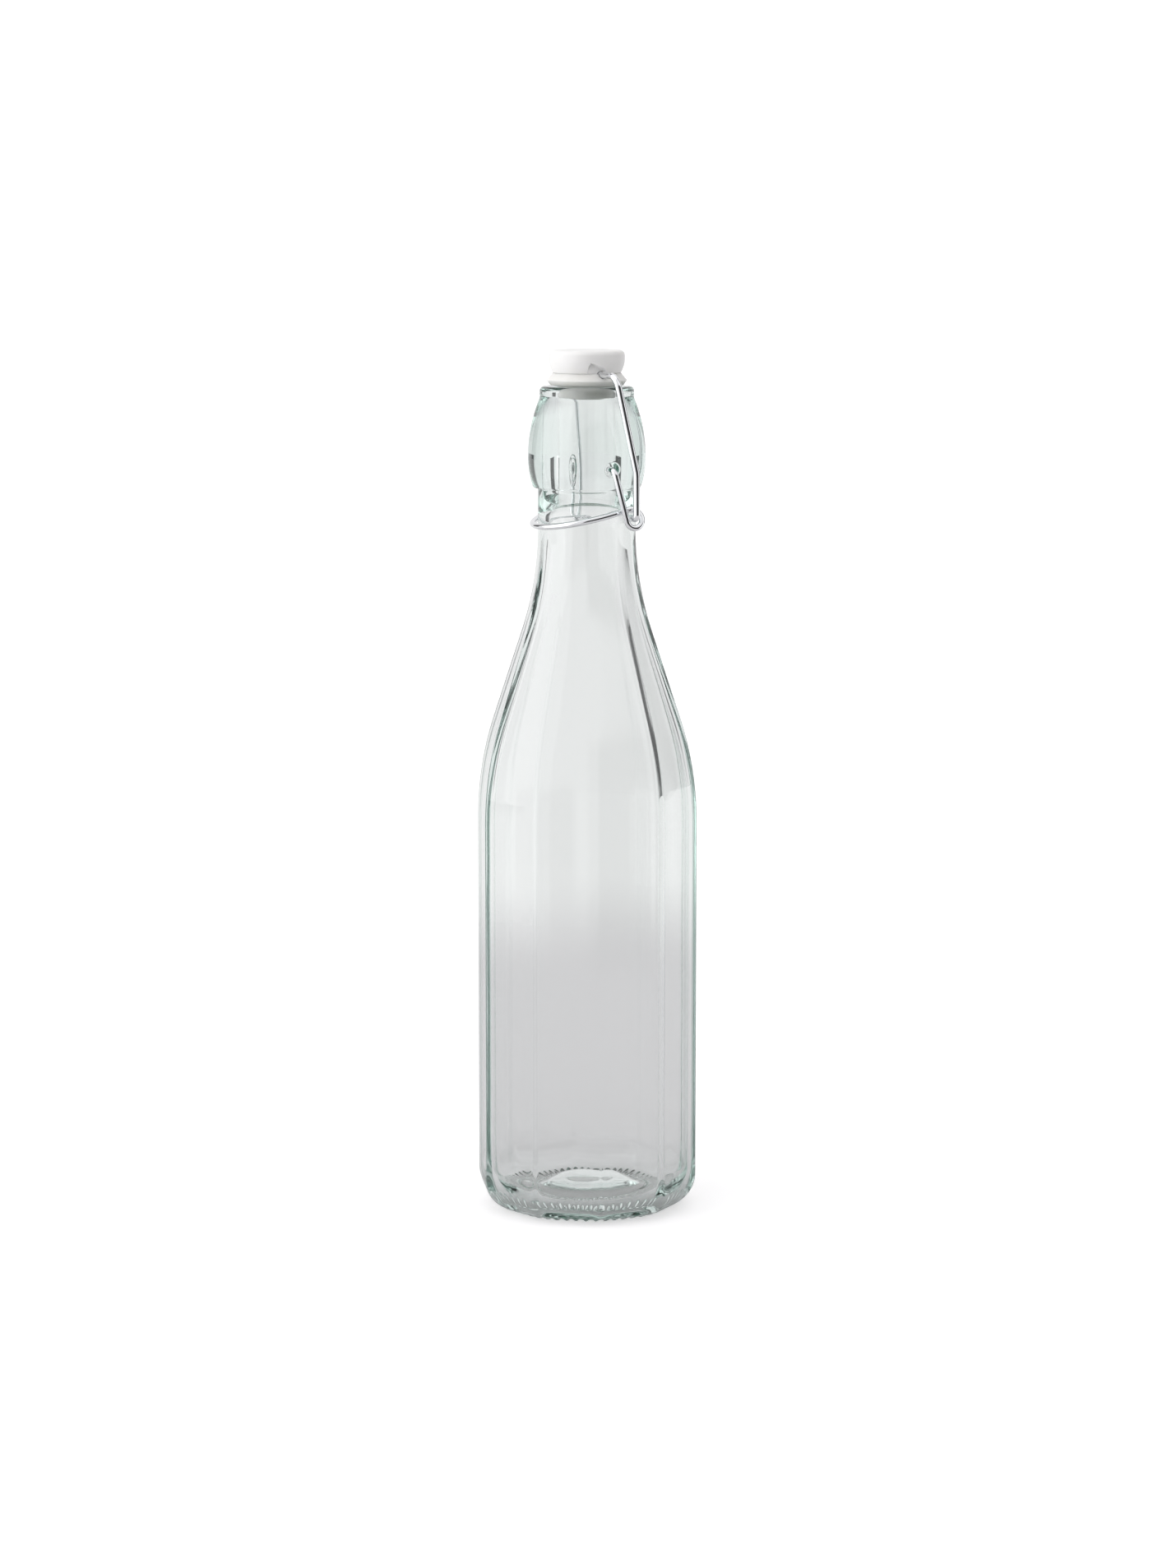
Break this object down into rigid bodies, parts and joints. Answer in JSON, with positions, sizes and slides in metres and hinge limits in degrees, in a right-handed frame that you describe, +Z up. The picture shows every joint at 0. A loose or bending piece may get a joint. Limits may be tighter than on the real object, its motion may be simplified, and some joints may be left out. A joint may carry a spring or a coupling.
{
  "type": "swing-top glass bottle",
  "caption": "Clear faceted glass bottle with a round collar, a white stopper on a rubber gasket, and a bent-wire swing closure, shown closed.",
  "frame": {"origin": "centre of the ring that the bottle stands on", "axes": "+Z up along the bottle's axis; X along the hinge line through the collar's two recesses; the lever's handle is towards -Y and its eyes towards +Y"},
  "size_m": [0.0662, 0.0692, 0.2674],
  "materials": {
    "glass": "clear, faintly green moulded soda-lime glass",
    "steel_wire": "bright drawn steel wire",
    "stopper_plastic": "white moulded plastic",
    "gasket_rubber": "milky translucent silicone rubber"
  },
  "bodies": {
    "bottle": {"bottle": "glass"},
    "lever": {"lever_wire": "steel_wire"},
    "bail": {"bail_wire": "steel_wire"},
    "stopper": {"stopper_cap": "stopper_plastic", "gasket": "gasket_rubber"}
  },
  "joints": [
    {"name": "lever_swing", "type": "hinge", "parent": "bottle", "child": "lever", "pos_m": [0, 0, 0.2315], "axis": [-1, 0, 0], "range_deg": [0, 90], "deforming": ["gasket"]},
    {"name": "bail_swing", "type": "hinge", "parent": "lever", "child": "bail", "pos_m": [0, 0.0065, 0.2166], "axis": [-1, 0, 0], "range_deg": [-60, 0]},
    {"name": "stopper_tilt", "type": "hinge", "parent": "bail", "child": "stopper", "pos_m": [0, 0, 0.25985], "axis": [-1, 0, 0], "range_deg": [-33, 0]}
  ],
  "couplings": [
    {"joint": "bail_swing", "follows": "lever_swing", "ratio": -0.653},
    {"joint": "stopper_tilt", "follows": "lever_swing", "ratio": -0.347}
  ]
}
